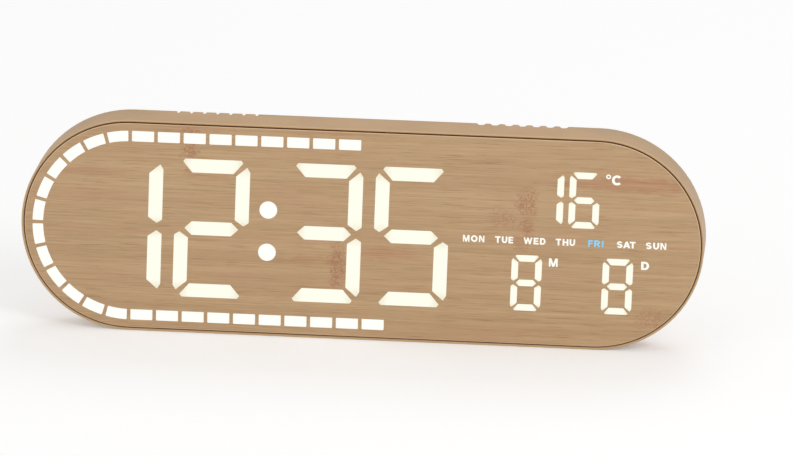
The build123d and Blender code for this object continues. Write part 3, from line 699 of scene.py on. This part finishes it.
def plate_mesh(name, loops, front, back):
    """A flat plate from outlines, with the ones inside others as its holes."""
    corners, triangles = flat_triangles(loops, lambda inside: inside % 2)
    count = len(corners)
    places = [(x, depth, z) for depth in (front, back) for x, z in corners]
    faces = [tuple(triangle) for triangle in triangles]
    faces += [tuple(count + corner for corner in reversed(triangle)) for triangle in triangles]
    faces += [(a, count + a, count + b, b) for a, b in border_of(triangles)]
    mesh = bpy.data.meshes.new(name)
    mesh.from_pydata(places, [], faces)
    return mesh


def from_core(x, z):
    """The nearest point of the line between the centres of the case's round ends."""
    return Vector((max(-half_straight, min(half_straight, x)), middle_z))


def round_rim(mesh):
    """Rounds the front edge of the panel's outer rim."""
    work = bmesh.new()
    work.from_mesh(mesh)
    for step in range(1, rim_steps + 1):
        level = rim_radius * (1 - math.cos(math.pi / 2 * step / rim_steps))
        everything = list(work.verts) + list(work.edges) + list(work.faces)
        bmesh.ops.bisect_plane(
            work, geom=everything, plane_co=(0, face_y + level, 0), plane_no=(0, 1, 0)
        )
    for vertex in work.verts:
        core = from_core(vertex.co.x, vertex.co.z)
        arm = Vector((vertex.co.x, vertex.co.z)) - core
        depth = vertex.co.y - face_y
        if arm.length < panel_radius - rim_margin or depth > rim_radius:
            continue
        rise = 1 - depth / rim_radius
        inset = rim_radius * (1 - math.sqrt(max(0.0, 1 - rise ** 2)))
        arm *= (arm.length - inset) / arm.length
        vertex.co.x, vertex.co.z = core + arm
    work.to_mesh(mesh)
    work.free()


def stroke_distance(point, stroke):
    """How far a point lies from a stroke's centre, in its half length and half width."""
    centre, side, across = stroke
    arm = point - centre
    return abs(arm.dot(side)) + abs(arm.dot(across))


def add_stroke_map(mesh, loops):
    """A UV map that runs from -1 to 1 along and across each stroke."""
    strokes = []
    for loop in loops:
        points = [Vector(point) for point in loop]
        centre = sum(points, Vector((0, 0))) / len(points)
        sides = [b - a for a, b in zip(points, points[1:] + points[:1])]
        side = max(sides, key=lambda vector: vector.length).normalized()
        across = Vector((-side.y, side.x))
        reach = max(abs((point - centre).dot(side)) for point in points)
        width = max(abs((point - centre).dot(across)) for point in points)
        strokes.append((centre, side / reach, across / width))
    stroke_map = mesh.uv_layers.new(name="stroke")
    for polygon in mesh.polygons:
        middle = Vector((polygon.center.x, polygon.center.z))
        distances = [stroke_distance(middle, stroke) for stroke in strokes]
        centre, side, across = strokes[distances.index(min(distances))]
        for index in polygon.loop_indices:
            vertex = mesh.vertices[mesh.loops[index].vertex_index].co
            arm = Vector((vertex.x, vertex.z)) - centre
            stroke_map.data[index].uv = (arm.dot(side), arm.dot(across))


# Words and signs of the display, in millimetres: middle across and up, width and height
weekday_z = 0.7
cap_height = 3.8
words = {
    "MON": (62.4, weekday_z, 12.0, cap_height),
    "TUE": (79.3, weekday_z, 10.2, cap_height),
    "WED": (96.2, weekday_z, 12.2, cap_height),
    "THU": (113.2, weekday_z, 10.7, cap_height),
    "FRI": (130.1, weekday_z, 8.6, cap_height),
    "SAT": (146.9, weekday_z, 10.4, cap_height),
    "SUN": (163.4, weekday_z, 11.4, cap_height),
    "C": (140.6, 37.3, 5.3, 5.8),
    "M": (106.85, -11.2, 4.9, 4.8),
    "D": (157.7, -10.9, 4.4, 4.8),
}
lit_weekday = "FRI"
word_depth = 1.0 * MM
# The degree sign: middle across and up, outer and inner radius
degree_ring = (136.1, 39.1, 1.35, 0.62)
circle_steps = 28

# Capitals in a height of one: the widths of upright, level and sloping strokes, and the gaps
weight = 0.255
level_weight = 0.23
slope_weight = 0.27
bow_steps = 14
letter_gap = 0.2
close_pairs = {"SA": 0.08, "AT": -0.06, "FR": 0.18}


def bar(low_x, low_z, high_x, high_z, width):
    """A straight stroke between two heights, its ends cut level, given by its left side."""
    return [(low_x, low_z), (low_x + width, low_z), (high_x + width, high_z), (high_x, high_z)]


def crossbar(width):
    """A level stroke at the top, from within the stem."""
    return bar(0.1, 1 - level_weight, 0.1, 1, width)


def bow(x, z, reach_x, reach_z, first, last):
    """A curved stroke along an ellipse, between two turns in degrees."""
    loop = []
    inset_x, inset_z = reach_x - weight, reach_z - level_weight
    turns = [math.radians(first + (last - first) * s / bow_steps) for s in range(bow_steps + 1)]
    for far_x, far_z, way in ((reach_x, reach_z, 1), (inset_x, inset_z, -1)):
        loop += [(x + far_x * math.cos(t), z + far_z * math.sin(t)) for t in turns[::way]]
    return loop


stem = bar(0, 0, 0, 1, weight)
top_half = 0.25 + level_weight / 4
# Each capital's strokes, and its width
capitals = {
    "A": ([bar(0, 0, 0.36, 1, slope_weight), bar(0.72, 0, 0.36, 1, slope_weight),
           bar(0.18, 0.2, 0.2, 0.38, 0.58)], 0.96),
    "C": ([bow(0.48, 0.5, 0.48, 0.5, 42, 318)], 0.88),
    "D": ([stem, bar(0.1, 0, 0.1, level_weight, 0.3), crossbar(0.3),
           bow(0.38, 0.5, 0.45, 0.5, -90, 90)], 0.83),
    "E": ([stem, bar(0.1, 0, 0.1, level_weight, 0.62), bar(0.1, 0.41, 0.1, 0.6, 0.57),
           crossbar(0.61)], 0.72),
    "F": ([stem, bar(0.1, 0.4, 0.1, 0.59, 0.5), crossbar(0.57)], 0.67),
    "H": ([stem, bar(0.59, 0, 0.59, 1, weight), bar(0.1, 0.41, 0.1, 0.61, 0.6)], 0.81),
    "I": ([stem], weight),
    "M": ([bar(0, 0, 0, 1, 0.19), bar(0.78, 0, 0.78, 1, 0.19), bar(0.375, 0, 0.05, 1, 0.22),
           bar(0.375, 0, 0.7, 1, 0.22)], 0.97),
    "N": ([bar(0, 0, 0, 1, 0.2), bar(0.6, 0, 0.6, 1, 0.2), bar(0.55, 0, 0.01, 1, 0.24)], 0.8),
    "O": ([bow(0.49, 0.5, 0.49, 0.5, -1, 181), bow(0.49, 0.5, 0.49, 0.5, 179, 361)], 0.98),
    "R": ([stem, bar(0.1, 0.38, 0.1, 0.56, 0.42), crossbar(0.42),
           bow(0.5, 0.69, 0.3, 0.31, -90, 90), bar(0.6, 0, 0.32, 0.45, 0.25)], 0.86),
    "S": ([bow(0.4, 1 - top_half, 0.39, top_half, 22, 270),
           bow(0.4, top_half, 0.4, top_half, -158, 90)], 0.8),
    "T": ([bar(0.3, 0, 0.3, 1, weight), bar(0, 1 - level_weight, 0, 1, 0.82)], 0.82),
    "U": ([bar(0, 0.38, 0, 1, weight), bar(0.57, 0.38, 0.57, 1, weight),
           bow(0.395, 0.4, 0.395, 0.4, 179, 361)], 0.79),
    "W": ([bar(0.24, 0, 0, 1, 0.22), bar(0.24, 0, 0.52, 1, 0.22), bar(0.8, 0, 0.52, 1, 0.22),
           bar(0.8, 0, 1.04, 1, 0.22)], 1.26),
}


def joined_loops(shapes):
    """Outlines of overlapping flat shapes taken as one."""
    corners, triangles = flat_triangles(shapes, lambda inside: inside, joined_letter_reach)
    onward = dict(border_of(triangles))
    loops = []
    while onward:
        corner = next(iter(onward))
        loop = []
        while corner in onward:
            loop.append(tuple(corners[corner]))
            corner = onward.pop(corner)
        loops.append(loop)
    return loops


def word_loops(text, middle_x, middle_up, width, height):
    """Outlines of a word in bold capitals, fitted to its width and height."""
    shapes = []
    reach = 0.0
    for index, letter in enumerate(text):
        if index:
            reach += close_pairs.get(text[index - 1:index + 1], letter_gap)
        strokes, letter_width = capitals[letter]
        shapes += [[(reach + x, z) for x, z in stroke] for stroke in strokes]
        reach += letter_width
    across = width * MM / reach
    up = height * MM
    base_x = middle_x * MM
    base_z = middle_z + middle_up * MM
    return [
        [(base_x + (x - reach / 2) * across, base_z + (z - 0.5) * up) for x, z in loop]
        for loop in joined_loops(shapes)
    ]


def circle_loop(middle_x, middle_up, radius):
    """A round outline on the panel."""
    turns = [2 * math.pi * step / circle_steps for step in range(circle_steps)]
    return [
        (
            (middle_x + radius * math.cos(turn)) * MM,
            middle_z + (middle_up + radius * math.sin(turn)) * MM,
        )
        for turn in turns
    ]


def limits_of(loop):
    """The lowest and highest x, and the lowest and highest z, of an outline."""
    across, up = zip(*loop)
    return min(across), max(across), min(up), max(up)


lettering = {text: word_loops(text, *place) for text, place in words.items()}
ring_x, ring_up, *ring_radii = degree_ring
lettering["degree"] = [circle_loop(ring_x, ring_up, radius) for radius in ring_radii]

# Lit pieces, each corner rounded as its window is
lit_pieces = {
    "hour_digits": (stroke_corner, "lit_lens"),
    "minute_digits": (stroke_corner, "lit_lens"),
    "temperature_digits": (small_corner, "lit_lens"),
    "month_digit": (small_corner, "lit_lens"),
    "day_digit": (small_corner, "lit_lens"),
    "colon_dots": (cell_corner, "lit_ring"),
    "seconds_ring": (cell_corner, "lit_ring"),
}
for node_name, (corner, finish) in lit_pieces.items():
    loops = [softened(loop, corner) for loop in outline_loops(node_name, panel_back_y)]
    mesh = plate_mesh(f"{node_name}_lit", loops, face_y, panel_back_y)
    add_stroke_map(mesh, loops)
    finish_piece(f"{node_name}_lit", mesh, finish, node_name, (node_name,))

for text, loops in lettering.items():
    mesh = plate_mesh(f"word_{text}", loops, face_y, face_y + word_depth)
    low_x, _, low_z, high_z = limits_of(loops[0])
    high_x = max(x for loop in loops for x, z in loop)
    add_stroke_map(mesh, [[(low_x, low_z), (high_x, low_z), (high_x, high_z), (low_x, high_z)]])
    finish = "lit_day" if text == lit_weekday else "lit_word"
    finish_piece(f"word_{text}", mesh, finish, "hour_digits")

# Bamboo panel, with a window for each lit piece and each word
panel_loops = []
for loop in outline_loops("front_panel", panel_back_y):
    low_x, high_x, low_z, high_z = limits_of(loop)
    size = (high_x - low_x, high_z - low_z)
    if max(size) <= panel_radius * 2:
        loop = softened(loop, small_corner if min(size) < small_window else stroke_corner)
    panel_loops.append(loop)
for loops in lettering.values():
    panel_loops += loops
panel = plate_mesh("bamboo_panel", panel_loops, face_y, panel_back_y)
round_rim(panel)
finish_piece("bamboo_panel", panel, "bamboo", "front_panel", ("front_panel",))

# Round and moulded parts
for node_name in (
    "rear_housing", "left_leg", "right_leg", "set_button", "up_button", "down_button",
    "battery_door", "leg_pins", "power_inlet", "inlet_pin", "coin_cell",
):
    smoothed(node_name)


# Case screws: how finely they are made, how much of a head is dome, and the recess's place in it
head_sides = 40
head_rings = 8
shank_sides = 20
dome_share = 0.45
recess_lift = 0.9
quarter_turn = math.pi / 2
screw_inputs = {
    "Places": "Geometry",
    "Head Radius": "Float",
    "Head Height": "Float",
    "Recess Length": "Float",
    "Recess Width": "Float",
    "Shank Radius": "Float",
    "Shank Length": "Float",
    "Seed": "Int",
    "Steel": "Material",
}


def domed_head(tree, radius, height):
    """A round head, flat below and domed above."""
    values = {
        "Vertices": head_sides,
        "Fill Segments": head_rings,
        "Radius": radius,
        "Depth": height,
    }
    blank = add(tree, "GeometryNodeMeshCylinder", values).outputs["Mesh"]
    place = add(tree, "GeometryNodeInputPosition").outputs[0]
    x, y, z = add(tree, "ShaderNodeSeparateXYZ", {0: place}).outputs
    squares = [maths(tree, "MULTIPLY", value, value) for value in (x, y, radius)]
    out = maths(tree, "ADD", squares[0], squares[1])
    share = maths(tree, "DIVIDE", out, squares[2])
    rest = maths(tree, "MAXIMUM", maths(tree, "SUBTRACT", 1.0, share), 0.0)
    dome = maths(tree, "SQRT", rest)
    crown = maths(tree, "MULTIPLY_ADD", dome, dome_share, 1 - dome_share)
    crown = maths(tree, "MULTIPLY", height, crown)
    top = maths(tree, "GREATER_THAN", z, 0.0)
    rise = maths(tree, "MULTIPLY", crown, top)
    raised = add(tree, "ShaderNodeCombineXYZ", {0: x, 1: y, 2: rise}).outputs[0]
    head = add(tree, "GeometryNodeSetPosition", {"Geometry": blank, "Position": raised})
    return head.outputs["Geometry"]


def moved_up(tree, mesh, distance):
    """A mesh moved along Z."""
    shift = add(tree, "ShaderNodeCombineXYZ", {2: distance}).outputs[0]
    values = {"Geometry": mesh, "Translation": shift}
    return add(tree, "GeometryNodeTransform", values).outputs["Geometry"]


def screw_tree():
    """Pan-headed screws with a cross recess, one at each point, each turned its own way."""
    tree = bpy.data.node_groups.new("pan_head_screws", "GeometryNodeTree")
    for label, kind in screw_inputs.items():
        tree.interface.new_socket(label, in_out="INPUT", socket_type=f"NodeSocket{kind}")
    tree.interface.new_socket("Screws", in_out="OUTPUT", socket_type="NodeSocketGeometry")
    given = tree.nodes.new("NodeGroupInput").outputs
    height = given["Head Height"]
    cut = add(tree, "GeometryNodeMeshBoolean", operation="DIFFERENCE", solver="EXACT")
    feed(tree, cut, {"Mesh 1": domed_head(tree, given["Head Radius"], height)})
    length, width = given["Recess Length"], given["Recess Width"]
    for x, y in ((length, width), (width, length)):
        size = add(tree, "ShaderNodeCombineXYZ", {0: x, 1: y, 2: height}).outputs[0]
        bit = add(tree, "GeometryNodeMeshCube", {"Size": size}).outputs["Mesh"]
        lift = maths(tree, "MULTIPLY", height, recess_lift)
        feed(tree, cut, {"Mesh 2": moved_up(tree, bit, lift)})
    values = {
        "Vertices": shank_sides,
        "Radius": given["Shank Radius"],
        "Depth": given["Shank Length"],
    }
    shank = add(tree, "GeometryNodeMeshCylinder", values).outputs["Mesh"]
    drop = maths(tree, "MULTIPLY", given["Shank Length"], -0.5)
    whole = add(tree, "GeometryNodeJoinGeometry")
    for part in (cut.outputs["Mesh"], moved_up(tree, shank, drop)):
        feed(tree, whole, {0: part})
    values = {"Geometry": whole.outputs[0], "Rotation": (-quarter_turn, 0, 0)}
    laid = add(tree, "GeometryNodeTransform", values).outputs["Geometry"]
    values = {"Min": (0, 0, 0), "Max": (0, quarter_turn, 0), "Seed": given["Seed"]}
    turn = add(tree, "FunctionNodeRandomValue", values, data_type="FLOAT_VECTOR").outputs[0]
    values = {"Points": given["Places"], "Instance": laid, "Rotation": turn}
    spread = add(tree, "GeometryNodeInstanceOnPoints", values).outputs["Instances"]
    real = add(tree, "GeometryNodeRealizeInstances", {"Geometry": spread}).outputs["Geometry"]
    steel = add(tree, "GeometryNodeSetMaterial", {"Geometry": real, "Material": given["Steel"]})
    feed(tree, tree.nodes.new("NodeGroupOutput"), {0: steel.outputs["Geometry"]})
    return tree


def grown_mesh(name, points, tree, sizes):
    """The plain mesh that a Geometry Nodes tree makes from some points and these named sizes."""
    seeds = bpy.data.meshes.new(f"{name}_places")
    seeds.from_pydata(points, [], [])
    holder = placed(f"{name}_places", seeds)
    modifier = holder.modifiers.new(name, "NODES")
    modifier.node_group = tree
    for socket in tree.interface.items_tree:
        if socket.in_out == "INPUT" and socket.name in sizes:
            modifier[socket.identifier] = sizes[socket.name]
    bpy.context.view_layer.update()
    grown = holder.evaluated_get(bpy.context.evaluated_depsgraph_get())
    mesh = bpy.data.meshes.new_from_object(grown)
    holder.modifiers.remove(modifier)
    bpy.data.objects.remove(holder)
    return mesh


# The screws stand in the places of the CAD's own, heads towards the back
screw_low, screw_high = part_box("case_screws")
head_radius = 2.6 * MM
head_height = 1.6 * MM
seat_y = screw_high.y - head_height
screw_places = [
    (x, seat_y, z)
    for x in (screw_low.x + head_radius, screw_high.x - head_radius)
    for z in (screw_low.z + head_radius, screw_high.z - head_radius)
]
screw_sizes = {
    "Head Radius": head_radius,
    "Head Height": head_height,
    "Recess Length": 2.9 * MM,
    "Recess Width": 0.65 * MM,
    "Shank Radius": 1.2 * MM,
    "Shank Length": seat_y - screw_low.y,
    "Seed": 4,
    "Steel": materials["screw_steel"],
}
screws = grown_mesh("screws", screw_places, screw_tree(), screw_sizes)
finish_piece("case_screws_turned", screws, "screw_steel", "case_screws", ("case_screws",))


# Floor, light and camera

floor_reach = 6.0
floor_grey = 0.85
floor_white = 0.26
room_light = 0.64
clock_middle = (0, 0, middle_z)
# Lamps: place, size and watts
lamps = {
    "key": ((1.1, -1.5, 1.3), 0.8, 11.0),
    "fill": ((-1.5, -1.6, 0.7), 1.2, 4.0),
    "rear": ((0.25, 1.3, 1.7), 1.0, 5.0),
}


def white_to_camera(tree, surface, level):
    """Adds this much plain white to a surface where the camera, a gloss or a glass sees it."""
    path = add(tree, "ShaderNodeLightPath").outputs
    seen = maths(tree, "ADD", path["Is Camera Ray"], path["Is Glossy Ray"], clamp=True)
    seen = maths(tree, "ADD", seen, path["Is Transmission Ray"], clamp=True)
    glow = add(tree, "ShaderNodeEmission", {"Strength": maths(tree, "MULTIPLY", seen, level)})
    return add(tree, "ShaderNodeAddShader", {0: surface, 1: glow.outputs[0]}).outputs[0]


floor_mesh = bpy.data.meshes.new("floor")
signs = ((-1, -1), (1, -1), (1, 1), (-1, 1))
floor_corners = [(x * floor_reach, y * floor_reach, 0) for x, y in signs]
floor_mesh.from_pydata(floor_corners, [], [(0, 1, 2, 3)])
floor = placed("floor", floor_mesh)
floor_material, floor_tree, floor_shader = new_material(
    "pale_floor", roughness=0.9, base_color=(floor_grey, floor_grey, floor_grey, 1)
)
floor_surface = white_to_camera(floor_tree, floor_shader.outputs[0], floor_white)
feed(floor_tree, floor_tree.nodes["Material Output"], {"Surface": floor_surface})
floor_mesh.materials.append(floor_material)

world = bpy.data.worlds.new("studio")
world.use_nodes = True
world_tree = world.node_tree
path = add(world_tree, "ShaderNodeLightPath").outputs
strength = maths(world_tree, "MAXIMUM", path["Is Camera Ray"], room_light)
feed(world_tree, world_tree.nodes["Background"], {"Color": (1, 1, 1, 1), "Strength": strength})
bpy.context.scene.world = world

for name, (place, size, watts) in lamps.items():
    light = bpy.data.lights.new(name, "AREA")
    light.size = size
    light.energy = watts
    lamp = placed(name, light)
    lamp.location = place
    aim = Vector(clock_middle) - Vector(place)
    lamp.rotation_euler = aim.to_track_quat("-Z", "Y").to_euler()

# Camera at the photograph's place: turn, rise and roll about the middle of the display, in degrees
turn, rise, roll = (math.radians(angle) for angle in (4.6476, 15.2489, 1.155))
camera_reach = 3.6580
camera_across = 19.467 * MM
camera_up = 3.933 * MM
lens_mm = 299.68
sensor_mm = 36.0
far_clip = 100.0
back = Vector((math.sin(turn) * math.cos(rise), -math.cos(turn) * math.cos(rise), math.sin(rise)))
level = Vector((math.cos(turn), math.sin(turn), 0))
upright = back.cross(level)
right = math.cos(roll) * level + math.sin(roll) * upright
top = math.cos(roll) * upright - math.sin(roll) * level
display_middle = Vector((0, face_y, middle_z))
camera_place = display_middle + camera_reach * back + camera_across * right + camera_up * top
camera_data = bpy.data.cameras.new("camera")
camera_data.sensor_width = sensor_mm
camera_data.lens = lens_mm
camera_data.clip_end = far_clip
camera = placed("camera", camera_data)
axes = Matrix((right, top, back)).transposed()
camera.matrix_world = Matrix.Translation(camera_place) @ axes.to_4x4()
bpy.context.scene.camera = camera

bpy.context.scene.view_settings.view_transform = "Standard"
